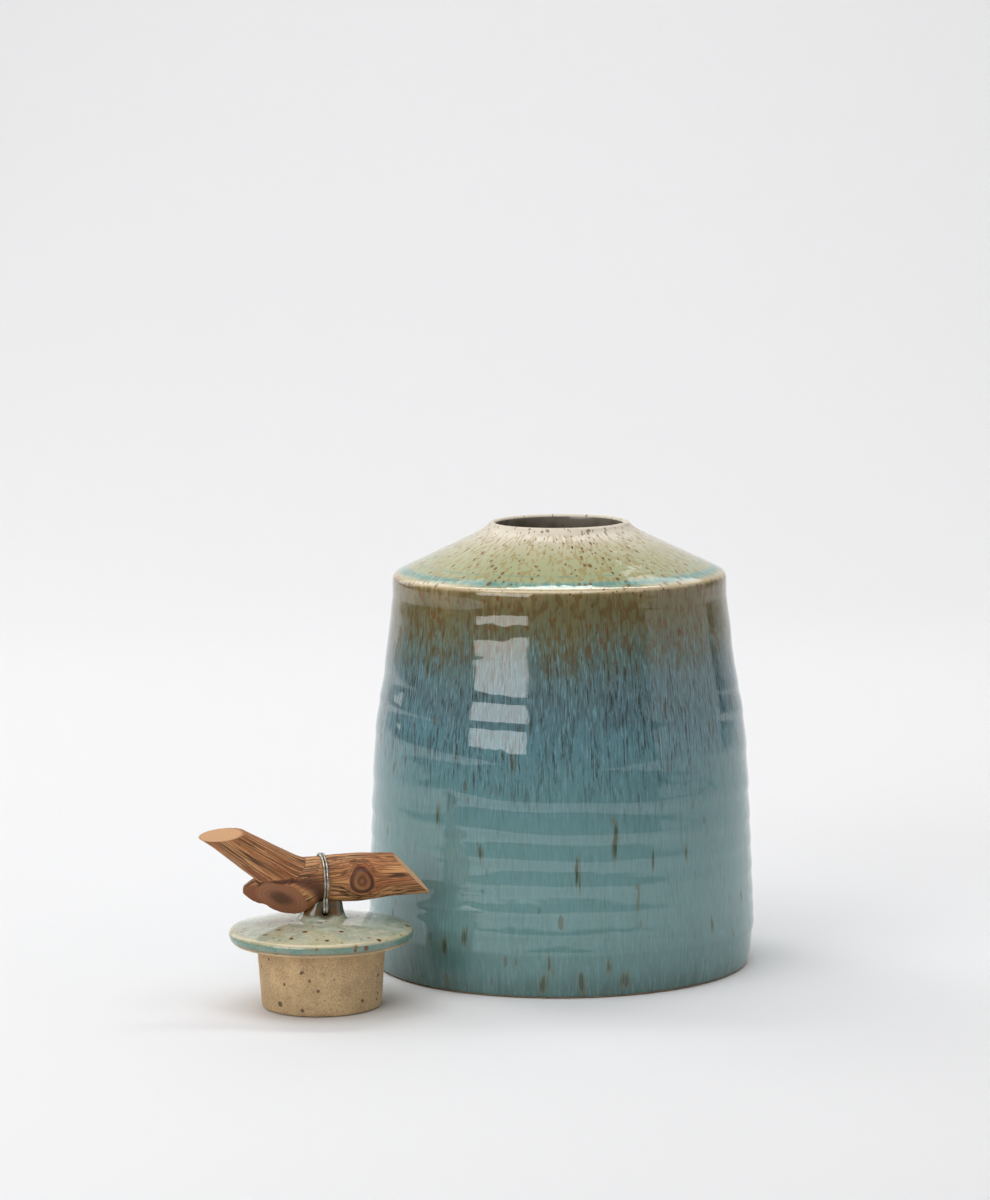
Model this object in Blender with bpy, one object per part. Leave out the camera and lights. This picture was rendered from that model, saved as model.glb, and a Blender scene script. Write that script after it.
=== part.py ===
"""Wheel-thrown stoneware storage jar with its plug lid standing beside it.

The lid's handle is a forked twig, tied down on a clay lug by one steel wire.
Units are metres and +Z is up. The origin is the middle of the jar's foot, on
the surface that the jar and its lid stand on.
"""

import math

import bmesh
import bpy
from mathutils import Matrix, Vector

# Gap left between two pieces that touch.
TOUCH_GAP = 0.0003

# Jar: the wall's outside, from the foot up to the shoulder's edge.
FOOT_RADIUS = 0.0825
FOOT_ROUND = 0.0018
BELLY_RADIUS = 0.0846
BELLY_HEIGHT = 0.0180
WAIST_RADIUS = 0.0812
WAIST_HEIGHT = 0.0970
NARROWING_RADIUS = 0.0767
NARROWING_HEIGHT = 0.1300
SHOULDER_RADIUS = 0.0728
SHOULDER_HEIGHT = 0.1715
SHOULDER_SLOPE = math.radians(25.4)
SHOULDER_EDGE_ROUND = 0.0012
WALL = 0.0055
FLOOR = 0.0070
CORNER_ROUND = 0.0080

# Jar: the raised lip round the mouth.
MOUTH_RADIUS = 0.0278
LIP_THICKNESS = 0.0028
LIP_RISE = 0.0023
LIP_ROUND = 0.0013
LIP_FOOT_WIDTH = 0.0015
LIP_FOOT_ROUND = 0.0040
THROAT_LENGTH = 0.0040

# Lid: a flange that rests on the lip, and a hollow plug that hangs in the mouth.
PLUG_CLEARANCE = 0.0008
PLUG_DEPTH = 0.0270
PLUG_TAPER = 0.0019
PLUG_WALL = 0.0045
PLUG_ROUND = 0.0009
PLUG_HOLLOW_ROUND = 0.0035
FLANGE_RADIUS = 0.0386
FLANGE_EDGE = 0.0062
FLANGE_TOP_ROUND = 0.0022
FLANGE_UNDER_ROUND = 0.0038
DOME_RISE = 0.0042
LID_BEARING = math.radians(221.1)
LID_SPACING = 0.0123

# Lug: the clay neck on the lid that the twig is tied to.
LUG_RISE = 0.0059
LUG_HALF_WIDTH = 0.0070
LUG_HALF_DEPTH = 0.0064
LUG_FOOT_SPREAD = 0.0030
LUG_LEAN = 0.0010
LUG_ROOT_DEPTH = 0.0005
LUG_SQUARENESS = 2.8
LUG_FLARE = 2.2
LUG_DEPTH_SHARE = 0.7
WIRE_HOLE_CLEARANCE = 0.00045
WIRE_HOLE_WEB = 0.0013

# Twig handle: reaches run along the twig from the tie, the others across it.
TWIG_RADIUS = 0.0098
TWIG_SWELL = 0.0004
TWIG_TIP_RADIUS = 0.0088
TWIG_TIP_LENGTH = 0.0090
TWIG_REACH = 0.0385
TWIG_BOW = 0.0006
TWIG_TURN = math.radians(14.5)
TIE_OFFSET = 0.0004
HEEL_REACH = 0.0110
HEEL_LENGTH = 0.0030
HEEL_RADIUS = 0.0070
ARM_RADIUS = 0.0061
ARM_ROOT_RADIUS = 0.0092
ARM_REACH = 0.0429
ARM_RISE = 0.0212
ARM_ROOT_REACH = 0.0130
ARM_ROOT_RISE = 0.0018
ARM_MIDDLE_REACH = 0.0250
ARM_MIDDLE_RISE = 0.0092
ARM_TAPER = 0.0010
ARM_TIP_SLOPE = 0.614
STUB_RADIUS = 0.0092
STUB_REACH = 0.0179
STUB_DROP = 0.0065
STUB_FORWARD = 0.0032
STUB_TAPER = 0.0004
BURL_RADIUS = 0.0068
BURL_REACH = 0.0322
BURL_BACK = 0.0040
BURL_DROP = 0.0044
BURL_SHOULDER_RADIUS = 0.0056
BURL_NOSE_LENGTH = 0.0050
BURL_NOSE_RADIUS = 0.0026
KNOT_RADIUS = 0.0050
KNOT_REACH = 0.0153
KNOT_PROUD = 0.0003
KNOT_EDGE = 0.0006

# Saw cuts: which way each cut face looks, and how far a limb ran on before it.
ARM_CUT_DROP = 0.0004
END_CUT_FACING = (0.73, -0.14, 0.67)
ARM_CUT_FACING = (-0.145, -0.26, 0.955)
STUB_CUT_FACING = (-0.484, -0.647, -0.590)
SAWN_OFF = 0.0160
SAW_BLOCK = 0.0600

# Wire: two turns through the lug's hole and round the twig, ends twisted.
WIRE_RADIUS = 0.0005
WIRE_STRAND_GAP = 0.0001
WIRE_CORNER = 0.0012
WIRE_TURN_START = math.radians(-42)
WIRE_TURN_END = math.radians(222)
WIRE_TURN_STEPS = 14
WIRE_TAIL_START = 0.0015
WIRE_TAIL_LENGTH = 0.0070
WIRE_TAIL_TURNS = 2.5
WIRE_TAIL_STEPS = 20
WIRE_TAIL_SPREAD = 0.91
WIRE_STEP = 0.0016

# Facets of a turned piece, a twig limb and a quarter-round corner.
TURNED_SEGMENTS = 48
LIMB_SEGMENTS = 20
LUG_SEGMENTS = 32
DRILL_SEGMENTS = 16
CORNER_STEPS = 3
CURVE_STEPS = 4
LIMB_STEPS = 3
ROUTE_STEPS = 6
SHARP_EDGE = math.radians(32)

# Sizes that follow from those above.
NECK_RADIUS = MOUTH_RADIUS + LIP_THICKNESS
NECK_HEIGHT = SHOULDER_HEIGHT + (SHOULDER_RADIUS - NECK_RADIUS) * math.tan(SHOULDER_SLOPE)
JAR_HEIGHT = NECK_HEIGHT + LIP_RISE
PLUG_RADIUS = MOUTH_RADIUS - PLUG_CLEARANCE
LID_DISTANCE = BELLY_RADIUS + FLANGE_RADIUS + LID_SPACING
LID_PLACE = Vector((LID_DISTANCE * math.cos(LID_BEARING), LID_DISTANCE * math.sin(LID_BEARING), 0))
DOME_HEIGHT = PLUG_DEPTH + FLANGE_EDGE + DOME_RISE
SADDLE_HEIGHT = DOME_HEIGHT + LUG_RISE
TWIG_HEIGHT = SADDLE_HEIGHT + TOUCH_GAP + TWIG_RADIUS
LUG_TOP = TWIG_HEIGHT - TWIG_RADIUS / 2
WIRE_PITCH = 2 * WIRE_RADIUS + WIRE_STRAND_GAP
WIRE_HOLE_RADIUS = WIRE_PITCH / 2 + WIRE_RADIUS + WIRE_HOLE_CLEARANCE
WIRE_HOLE_HEIGHT = SADDLE_HEIGHT - WIRE_HOLE_WEB - WIRE_HOLE_RADIUS


def clear_scene():
    for thing in list(bpy.data.objects):
        bpy.data.objects.remove(thing, do_unlink=True)


def make_material(name, colour, roughness, metallic):
    material = bpy.data.materials.new(name)
    material.use_nodes = True
    shader = material.node_tree.nodes["Principled BSDF"]
    shader.inputs["Base Color"].default_value = (*colour, 1.0)
    shader.inputs["Roughness"].default_value = roughness
    shader.inputs["Metallic"].default_value = metallic
    return material


def add_object(name, data, material=None, parent=None):
    thing = bpy.data.objects.new(name, data)
    bpy.context.scene.collection.objects.link(thing)
    thing.parent = parent
    if material is not None:
        data.materials.append(material)
    return thing


def add_empty(name, place, turn=0.0, parent=None):
    empty = bpy.data.objects.new(name, None)
    bpy.context.scene.collection.objects.link(empty)
    empty.location = place
    empty.rotation_euler = (0.0, 0.0, turn)
    empty.parent = parent
    return empty


def combine(target, tool, operation):
    """Join or cut target with tool, and keep tool out of the finished model."""
    modifier = target.modifiers.new(tool.name, "BOOLEAN")
    modifier.object = tool
    modifier.operation = operation
    modifier.solver = "EXACT"
    tool.hide_render = True
    tool.display_type = "WIRE"


def smooth_path(stations, steps):
    """Points on a smooth curve through stations, with steps to each span."""
    padded = [2 * stations[0] - stations[1], *stations, 2 * stations[-1] - stations[-2]]
    path = []
    for before, start, end, after in zip(padded, padded[1:], padded[2:], padded[3:]):
        for step in range(steps):
            t = step / steps
            path.append(
                0.5 * ((2 * start)
                       + (end - before) * t
                       + (2 * before - 5 * start + 4 * end - after) * t ** 2
                       + (3 * start - before - 3 * end + after) * t ** 3)
            )
    path.append(stations[-1])
    return path


def rounded(corner, before, after, radius, steps=CORNER_STEPS):
    """Arc of the given radius that rounds corner off, between its two neighbours."""
    to_before = (before - corner).normalized()
    to_after = (after - corner).normalized()
    half_angle = to_before.angle(to_after) / 2
    centre = corner + (to_before + to_after).normalized() * radius / math.sin(half_angle)
    start = corner + to_before * radius / math.tan(half_angle) - centre
    end = corner + to_after * radius / math.tan(half_angle) - centre
    sweep = start.angle_signed(end)
    return [centre + Matrix.Rotation(-sweep * step / steps, 2) @ start for step in range(steps + 1)]


def outline(corners):
    """Outline from (radius, height, rounding) corners; a rounding of 0 stays sharp."""
    points = []
    for index, (radius, height, rounding) in enumerate(corners):
        corner = Vector((radius, height))
        if rounding == 0:
            points.append(corner)
            continue
        before = Vector(corners[index - 1][:2])
        after = Vector(corners[index + 1][:2])
        points.extend(rounded(corner, before, after, rounding))
    return points


def turned_mesh(name, points, segments=TURNED_SEGMENTS):
    """Solid of revolution of an outline that starts and ends on the axis."""
    model = bmesh.new()
    rings = []
    for radius, height in points:
        if radius < 1e-7:
            rings.append([model.verts.new((0.0, 0.0, height))])
            continue
        angles = [2 * math.pi * step / segments for step in range(segments)]
        rings.append([
            model.verts.new((radius * math.cos(angle), radius * math.sin(angle), height))
            for angle in angles
        ])
    skin(model, rings)
    return finish_mesh(name, model)


def skin(model, rings):
    """Faces between one ring of vertices and the next; a lone vertex closes the end."""
    for lower, upper in zip(rings, rings[1:]):
        count = max(len(lower), len(upper))
        for step in range(count):
            following = (step + 1) % count
            corners = [lower[step % len(lower)], lower[following % len(lower)],
                       upper[following % len(upper)], upper[step % len(upper)]]
            model.faces.new(list(dict.fromkeys(corners)))


def finish_mesh(name, model):
    bmesh.ops.recalc_face_normals(model, faces=model.faces)
    mesh = bpy.data.meshes.new(name)
    model.to_mesh(mesh)
    model.free()
    mesh.shade_smooth()
    mesh.set_sharp_from_angle(angle=SHARP_EDGE)
    return mesh


def limb_mesh(name, stations, swell=0.0):
    """Round limb through (x, y, z, radius) stations, closed at both ends."""
    places = smooth_path([Vector(station[:3]) for station in stations], LIMB_STEPS)
    radii = smooth_path([Vector((station[3], 0.0)) for station in stations], LIMB_STEPS)
    model = bmesh.new()
    rings = []
    for index, place in enumerate(places):
        ahead = places[min(index + 1, len(places) - 1)]
        behind = places[max(index - 1, 0)]
        along = (ahead - behind).normalized()
        across = Vector((0.0, 1.0, 0.0)).cross(along).normalized()
        other = along.cross(across)
        ring = []
        for step in range(LIMB_SEGMENTS):
            angle = 2 * math.pi * step / LIMB_SEGMENTS
            radius = radii[index].x + swell
            ring.append(model.verts.new(
                place + radius * (math.cos(angle) * across + math.sin(angle) * other)))
        rings.append(ring)
    start = model.verts.new(places[0])
    end = model.verts.new(places[-1])
    skin(model, [[start], *rings, [end]])
    return finish_mesh(name, model)


def block_beyond(name, place, normal, parent):
    """Cube whose near face passes through place, to saw off what lies beyond it."""
    model = bmesh.new()
    bmesh.ops.create_cube(model, size=SAW_BLOCK)
    block = add_object(name, finish_mesh(name, model), parent=parent)
    facing = Vector(normal).normalized()
    block.location = Vector(place) + facing * SAW_BLOCK / 2
    block.rotation_euler = facing.to_track_quat("Z", "Y").to_euler()
    return block


def wall_outline():
    """Outside of the jar's wall, from the foot's edge to just under the shoulder."""
    stations = [
        Vector((BELLY_RADIUS, BELLY_HEIGHT)),
        Vector((WAIST_RADIUS, WAIST_HEIGHT)),
        Vector((NARROWING_RADIUS, NARROWING_HEIGHT)),
        Vector((SHOULDER_RADIUS, SHOULDER_HEIGHT)),
    ]
    return smooth_path(stations, CURVE_STEPS)


def shoulder_height_at(radius):
    """Height of the shoulder's outside at a radius."""
    return SHOULDER_HEIGHT + (SHOULDER_RADIUS - radius) * math.tan(SHOULDER_SLOPE)


def make_jar():
    outside = wall_outline()
    shoulder_drop = WALL / math.cos(SHOULDER_SLOPE)
    lip_foot = NECK_RADIUS + LIP_FOOT_WIDTH
    throat_height = NECK_HEIGHT - THROAT_LENGTH
    inside = [point - Vector((WALL, 0.0)) for point in outside]
    inner_top_radius = inside[-1].x
    inner_top_height = shoulder_height_at(inner_top_radius) - shoulder_drop
    inside = [point for point in inside if FLOOR + CORNER_ROUND < point.y < inner_top_height - 0.004]
    corners = [(0.0, 0.0, 0.0), (FOOT_RADIUS, 0.0, FOOT_ROUND)]
    corners += [(point.x, point.y, 0.0) for point in outside[:-1]]
    corners += [
        (SHOULDER_RADIUS, SHOULDER_HEIGHT, SHOULDER_EDGE_ROUND),
        (lip_foot, shoulder_height_at(lip_foot), LIP_FOOT_ROUND),
        (NECK_RADIUS, JAR_HEIGHT, LIP_ROUND),
        (MOUTH_RADIUS, JAR_HEIGHT, LIP_ROUND),
        (MOUTH_RADIUS, throat_height, 0.0),
        (NECK_RADIUS, shoulder_height_at(NECK_RADIUS) - shoulder_drop - 0.001, 0.0),
        (inner_top_radius, inner_top_height, CORNER_ROUND / 2),
    ]
    corners += [(point.x, point.y, 0.0) for point in reversed(inside)]
    corners += [(inside[0].x, FLOOR, CORNER_ROUND), (0.0, FLOOR, 0.0)]
    material = make_material("jar_glaze", (0.36, 0.47, 0.47), 0.12, 0.0)
    return add_object("jar", turned_mesh("jar", outline(corners)), material)


def lid_outline():
    tip_radius = PLUG_RADIUS - PLUG_TAPER
    hollow_radius = PLUG_RADIUS - PLUG_WALL
    edge_height = PLUG_DEPTH + FLANGE_EDGE
    dome = [
        Vector((FLANGE_RADIUS - FLANGE_TOP_ROUND, edge_height)),
        Vector((FLANGE_RADIUS * 0.66, edge_height + DOME_RISE * 0.52)),
        Vector((FLANGE_RADIUS * 0.30, edge_height + DOME_RISE * 0.90)),
        Vector((0.0, edge_height + DOME_RISE)),
    ]
    corners = [
        (0.0, PLUG_DEPTH, 0.0),
        (hollow_radius, PLUG_DEPTH, PLUG_HOLLOW_ROUND),
        (tip_radius - PLUG_WALL, 0.0, PLUG_ROUND),
        (tip_radius, 0.0, PLUG_ROUND),
        (PLUG_RADIUS, PLUG_DEPTH, 0.0),
        (FLANGE_RADIUS, PLUG_DEPTH, FLANGE_UNDER_ROUND),
        (FLANGE_RADIUS, edge_height, FLANGE_TOP_ROUND),
    ]
    edge = outline(corners + [(dome[0].x, dome[0].y, 0.0)])[:-1]
    return edge + smooth_path(dome, CURVE_STEPS)[1:]


def lug_spread(height):
    """How far the lug's sides stand out at a height, beyond its half width at the top."""
    return LUG_FOOT_SPREAD * ((LUG_TOP - height) / (LUG_TOP - DOME_HEIGHT)) ** LUG_FLARE


def lug_half_depth(height):
    return LUG_HALF_DEPTH + LUG_DEPTH_SHARE * lug_spread(height)


def lug_mesh():
    """Clay neck: rounded rectangles, widest where it spreads on to the lid."""
    root = PLUG_DEPTH + FLANGE_EDGE / 2
    heights = [root, DOME_HEIGHT - LUG_ROOT_DEPTH, DOME_HEIGHT + 2 * LUG_ROOT_DEPTH,
               WIRE_HOLE_HEIGHT, SADDLE_HEIGHT, LUG_TOP]
    model = bmesh.new()
    rings = []
    for height in heights:
        lean = LUG_LEAN * (height - DOME_HEIGHT) / LUG_RISE
        half_width = LUG_HALF_WIDTH + lug_spread(height)
        ring = []
        for step in range(LUG_SEGMENTS):
            angle = 2 * math.pi * step / LUG_SEGMENTS
            cosine = math.copysign(abs(math.cos(angle)) ** (2 / LUG_SQUARENESS), math.cos(angle))
            sine = math.copysign(abs(math.sin(angle)) ** (2 / LUG_SQUARENESS), math.sin(angle))
            ring.append(model.verts.new(
                (lean + half_width * cosine, lug_half_depth(height) * sine, height)))
        rings.append(ring)
    model.faces.new(rings[0])
    skin(model, rings)
    model.faces.new(rings[-1])
    return finish_mesh("lug", model)


def trunk_stations():
    """Thick limb, from the heel that the arm and the stub grow out of to its sawn end."""
    return [
        (-HEEL_REACH - HEEL_LENGTH, 0.0, -TWIG_BOW, HEEL_RADIUS),
        (-HEEL_REACH, 0.0, -TWIG_BOW, TWIG_RADIUS),
        (0.0, 0.0, 0.0, TWIG_RADIUS),
        (KNOT_REACH, 0.0, TWIG_BOW / 6, TWIG_RADIUS + TWIG_SWELL),
        (TWIG_REACH - TWIG_TIP_LENGTH, 0.0, TWIG_BOW * 2 / 3, TWIG_TIP_RADIUS + TWIG_SWELL),
        (TWIG_REACH + SAWN_OFF, 0.0, TWIG_BOW, TWIG_TIP_RADIUS),
    ]


def arm_stations():
    """Limb that rises away from the trunk at the fork."""
    return [
        (-HEEL_LENGTH, 0.0, 0.0, ARM_ROOT_RADIUS - ARM_TAPER / 2),
        (-ARM_ROOT_REACH, 0.0, ARM_ROOT_RISE, ARM_ROOT_RADIUS),
        (-ARM_MIDDLE_REACH, 0.0, ARM_MIDDLE_RISE, ARM_ROOT_RADIUS - ARM_TAPER),
        (-ARM_REACH, 0.0, ARM_RISE, ARM_RADIUS),
        (-ARM_REACH - SAWN_OFF, 0.0, ARM_RISE + SAWN_OFF * ARM_TIP_SLOPE, ARM_RADIUS - ARM_TAPER / 2),
    ]


def stub_stations():
    """Limb that pointed down and forward, sawn off close to the trunk."""
    return [
        (-TIE_OFFSET, 0.0, 0.0, STUB_RADIUS - STUB_TAPER),
        (-STUB_REACH * 0.56, -STUB_FORWARD * 0.37, -STUB_DROP / 2, STUB_RADIUS + STUB_TAPER),
        (-STUB_REACH, -STUB_FORWARD, -STUB_DROP, STUB_RADIUS),
        (-STUB_REACH - SAWN_OFF, -2 * STUB_FORWARD, -2 * STUB_DROP, STUB_RADIUS - STUB_TAPER),
    ]


def burl_stations():
    """Swelling behind the stub, under the fork."""
    shoulder = BURL_REACH - BURL_NOSE_LENGTH
    return [
        (-shoulder / 3, BURL_BACK / 4, -BURL_DROP / 2, BURL_RADIUS),
        (-shoulder * 0.74, BURL_BACK * 0.7, -BURL_DROP * 0.9, BURL_RADIUS),
        (-shoulder, BURL_BACK, -BURL_DROP, BURL_SHOULDER_RADIUS),
        (-BURL_REACH, BURL_BACK, -BURL_DROP, BURL_NOSE_RADIUS),
    ]


def knot_mesh():
    """Stump of a small shoot, barely proud of the trunk's front."""
    front = TWIG_RADIUS + TWIG_SWELL + KNOT_PROUD
    stations = [
        (0.0, KNOT_REACH, 0.0, KNOT_RADIUS),
        (-front / 2, KNOT_REACH, 0.0, KNOT_RADIUS),
        (-front + KNOT_EDGE / 2, KNOT_REACH, 0.0, KNOT_RADIUS),
        (-front, KNOT_REACH, 0.0, KNOT_RADIUS - KNOT_EDGE),
    ]
    mesh = limb_mesh("knot", stations)
    swap_along_and_back = Matrix(((0, 1, 0, 0), (1, 0, 0, 0), (0, 0, 1, 0), (0, 0, 0, 1)))
    mesh.transform(swap_along_and_back)
    mesh.flip_normals()
    return mesh


def make_twig(parent):
    material = make_material("twig_wood", (0.38, 0.19, 0.10), 0.6, 0.0)
    twig = add_object("twig_handle", limb_mesh("twig_handle", trunk_stations()), material, parent)
    limbs = {"arm": arm_stations(), "stub": stub_stations(), "burl": burl_stations()}
    for name, stations in limbs.items():
        limb = add_object(name, limb_mesh(name, stations), material, parent)
        combine(twig, limb, "UNION")
    combine(twig, add_object("knot", knot_mesh(), material, parent), "UNION")
    saw_cuts = {
        "end_cut": ((TWIG_REACH, 0.0, TWIG_BOW), END_CUT_FACING),
        "arm_cut": ((-ARM_REACH, 0.0, ARM_RISE - ARM_CUT_DROP), ARM_CUT_FACING),
        "stub_cut": ((-STUB_REACH, -STUB_FORWARD, -STUB_DROP), STUB_CUT_FACING),
    }
    for name, (place, normal) in saw_cuts.items():
        combine(twig, block_beyond(name, place, normal, parent), "DIFFERENCE")
    return twig


def make_lid(parent, handle_frame):
    material = make_material("lid_glaze", (0.55, 0.60, 0.52), 0.14, 0.0)
    lid = add_object("lid", turned_mesh("lid", lid_outline()), material, parent)
    lug = add_object("lug", lug_mesh(), material, handle_frame)
    lug.location = (0.0, 0.0, -TWIG_HEIGHT)
    limbs = {"trunk_clearance": trunk_stations(), "stub_clearance": stub_stations()}
    for name, stations in limbs.items():
        clearance = add_object(name, limb_mesh(name, stations, TOUCH_GAP), parent=handle_frame)
        combine(lug, clearance, "DIFFERENCE")
    combine(lid, lug, "UNION")
    drill = bmesh.new()
    bmesh.ops.create_cone(
        drill, cap_ends=True, segments=DRILL_SEGMENTS, depth=SAW_BLOCK,
        radius1=WIRE_HOLE_RADIUS, radius2=WIRE_HOLE_RADIUS,
        matrix=Matrix.Rotation(math.radians(90), 4, "X"))
    wire_hole = add_object("wire_hole", finish_mesh("wire_hole", drill), parent=handle_frame)
    wire_hole.location = (0.0, 0.0, WIRE_HOLE_HEIGHT - TWIG_HEIGHT)
    combine(lid, wire_hole, "DIFFERENCE")
    return lid


def wire_turn(shift_in, shift_out):
    """One turn: through the hole to the front, up over the twig and down its back."""
    loop = TWIG_RADIUS + TOUCH_GAP + WIRE_RADIUS
    hole = WIRE_HOLE_HEIGHT - TWIG_HEIGHT
    face = lug_half_depth(WIRE_HOLE_HEIGHT) + TOUCH_GAP + WIRE_RADIUS
    points = [
        Vector((shift_in, face, hole + WIRE_CORNER)),
        Vector((shift_in, face - WIRE_CORNER, hole)),
        Vector((shift_in, 0.0, hole)),
        Vector((shift_in, -face + WIRE_CORNER, hole)),
        Vector((shift_in, -face, hole + WIRE_CORNER)),
    ]
    for step in range(WIRE_TURN_STEPS + 1):
        share = step / WIRE_TURN_STEPS
        angle = WIRE_TURN_START + (WIRE_TURN_END - WIRE_TURN_START) * share
        shift = shift_in + (shift_out - shift_in) * max(0.0, 2 * share - 1)
        points.append(Vector((shift, -loop * math.cos(angle), loop * math.sin(angle))))
    return points


def wire_tail(phase):
    """One strand of the twisted ends, which lie along the twig's lower back."""
    spread = TWIG_RADIUS * WIRE_TAIL_SPREAD
    middle = Vector((WIRE_TAIL_START, spread, -spread))
    points = []
    for step in range(WIRE_TAIL_STEPS + 1):
        share = step / WIRE_TAIL_STEPS
        angle = phase + 2 * math.pi * WIRE_TAIL_TURNS * share
        points.append(middle + Vector((
            WIRE_TAIL_LENGTH * share,
            WIRE_PITCH / 2 * math.cos(angle),
            WIRE_PITCH / 2 * math.sin(angle))))
    return points


def even_steps(points, spacing):
    """Points at even distances along a path."""
    path = [points[0]]
    left = spacing
    for start, end in zip(points, points[1:]):
        length = (end - start).length
        while left <= length:
            path.append(start.lerp(end, left / length))
            left += spacing
        left -= length
    path.append(points[-1])
    return path


def make_wire(parent):
    half = WIRE_PITCH / 2
    route = list(reversed(wire_tail(-math.pi / 2)))
    route += wire_turn(-half, half)
    route += wire_turn(half, 3 * half)
    route += wire_tail(math.pi / 2)
    points = even_steps(smooth_path(route, ROUTE_STEPS), WIRE_STEP)
    curve = bpy.data.curves.new("binding_wire", "CURVE")
    curve.dimensions = "3D"
    curve.bevel_depth = WIRE_RADIUS
    curve.bevel_resolution = 2
    curve.use_fill_caps = True
    spline = curve.splines.new("POLY")
    spline.points.add(len(points) - 1)
    for control, point in zip(spline.points, points):
        control.co = (*point, 1.0)
    material = make_material("wire_steel", (0.62, 0.61, 0.58), 0.28, 1.0)
    return add_object("binding_wire", curve, material, parent)


def build():
    clear_scene()
    make_jar()
    lid_frame = add_empty("lid_frame", LID_PLACE)
    handle_frame = add_empty("handle_frame", (TIE_OFFSET, 0.0, TWIG_HEIGHT), TWIG_TURN, lid_frame)
    make_lid(lid_frame, handle_frame)
    make_twig(handle_frame)
    make_wire(handle_frame)


build()
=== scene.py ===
"""Looks of a thrown storage jar and its plug lid with a wired-on twig handle.

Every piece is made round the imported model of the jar, in metres, with +Z up.
"""

import math

import bmesh
import bpy
import numpy as np
from mathutils import Matrix, Vector, noise


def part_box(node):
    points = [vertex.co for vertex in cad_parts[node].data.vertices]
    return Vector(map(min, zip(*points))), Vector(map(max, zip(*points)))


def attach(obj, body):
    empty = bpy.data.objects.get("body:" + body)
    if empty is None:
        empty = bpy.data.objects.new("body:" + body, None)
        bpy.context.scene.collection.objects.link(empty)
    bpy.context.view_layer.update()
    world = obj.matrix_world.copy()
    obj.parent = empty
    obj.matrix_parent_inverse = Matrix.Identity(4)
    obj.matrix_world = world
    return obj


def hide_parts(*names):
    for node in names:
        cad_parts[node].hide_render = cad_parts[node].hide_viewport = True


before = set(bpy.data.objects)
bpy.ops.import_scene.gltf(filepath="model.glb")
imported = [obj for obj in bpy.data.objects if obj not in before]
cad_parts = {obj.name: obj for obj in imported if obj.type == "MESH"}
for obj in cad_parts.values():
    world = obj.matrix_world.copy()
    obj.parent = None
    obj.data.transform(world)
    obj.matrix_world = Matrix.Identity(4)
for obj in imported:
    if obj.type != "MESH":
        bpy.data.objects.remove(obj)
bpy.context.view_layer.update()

# The jar: where the shoulder breaks and the lip starts, and how many sides its rings have.
JAR_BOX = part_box("jar")
SHOULDER_HEIGHT = 0.1715
SHOULDER_RADIUS = 0.0728
LIP_FOOT = 0.0321
LIP_FOOT_HEIGHT = 0.1895
JAR_SIDES = 400

# The fingers' spiral: heights where it passes the front left, how steeply it tilts the wall,
# where it starts, and the rows that it is eased over.
MARK_HEIGHTS = [
    0.008, 0.018, 0.025, 0.033, 0.045, 0.056, 0.067, 0.081, 0.099, 0.1155, 0.1245, 0.1545, 0.1660, 0.186,
]
MARK_TILTS = [
    (0.003, 0.0), (0.012, 0.072), (0.068, 0.076), (0.074, 0.098), (0.080, 0.078), (0.092, 0.040),
    (0.104, 0.060), (0.118, 0.090), (0.128, 0.048), (0.144, 0.024), (0.158, 0.022), (0.167, 0.0),
]
MARK_START = math.radians(-105)
MARK_EASE = 24

# The wall draws in a little under the shoulder's edge: heights, and how far out at each.
COLLAR = ([0.122, 0.162, 0.1705], [0.0, -0.0009, 0.0])

# The glaze's streaks are laid round the wall at this radius, whatever its own.
STREAK_RADIUS = 0.078

# Runs of iron in the glaze: degrees round from the front, low and high ends and width in mm.
IRON_RUNS = [
    (15, 57, 77, 1.5), (4, 46, 62, 1.2), (-40, 70, 80, 1.4), (-25, 59, 64, 1.2), (39, 56, 62, 1.2),
    (27, 53, 60, 1.3), (-6, 3, 10, 2.2), (-4, 9, 18, 1.1), (5, 3, 11, 2.0), (18, 4, 10, 2.6),
    (13, 11, 15, 1.8), (-37, 17, 23, 1.8), (-30, 22, 28, 1.7), (67, 32, 36, 1.3), (49, 23, 28, 1.4),
    (-49, 133, 142, 1.5), (22, 30, 52, 0.9), (-15, 96, 103, 1.1), (52, 104, 116, 1.2), (-62, 88, 96, 1.3),
]

# The same runs again round the back: degrees of turn, and mm up for those that start above the foot.
IRON_RUN_TURNS = [(0, 0), (132, 9), (233, -5)]
IRON_RUN_FOOT = 12
IRON_RUN_RADIUS = 82

# The lid's axis, and its lug, twig and wire, measured from the middle of its plug's end.
LID_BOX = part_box("lid")
LID_PLACE = Vector(((LID_BOX[0][0] + LID_BOX[1][0]) / 2, (LID_BOX[0][1] + LID_BOX[1][1]) / 2, 0.0))
LID_SIDES = 256
LID_VOXEL = 0.00045
PLUG_DEPTH = 0.0270
DOME_HEIGHT = 0.0374
LUG_RISE = 0.0059
LUG_HALF_WIDTH = 0.0070
LUG_HALF_DEPTH = 0.0064
LUG_FOOT_SPREAD = 0.0030
LUG_LEAN = 0.0010
LUG_SQUARENESS = 2.8
SADDLE_HEIGHT = DOME_HEIGHT + LUG_RISE
SEAT_GAP = 0.0003
TWIG_RADIUS = 0.0098
TWIG_HEIGHT = SADDLE_HEIGHT + SEAT_GAP + TWIG_RADIUS
TWIG_VOXEL = 0.00040
TWIG_SIDES = 48
TWIG_STEPS = 10
TWIG_TURN = math.radians(14.5)
TIE_OFFSET = 0.0004
WIRE_RADIUS = 0.0005
WIRE_PITCH = 0.0011
WIRE_HOLE_RADIUS = 0.0015
WIRE_HOLE_HEIGHT = SADDLE_HEIGHT - 0.0013 - WIRE_HOLE_RADIUS
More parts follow.
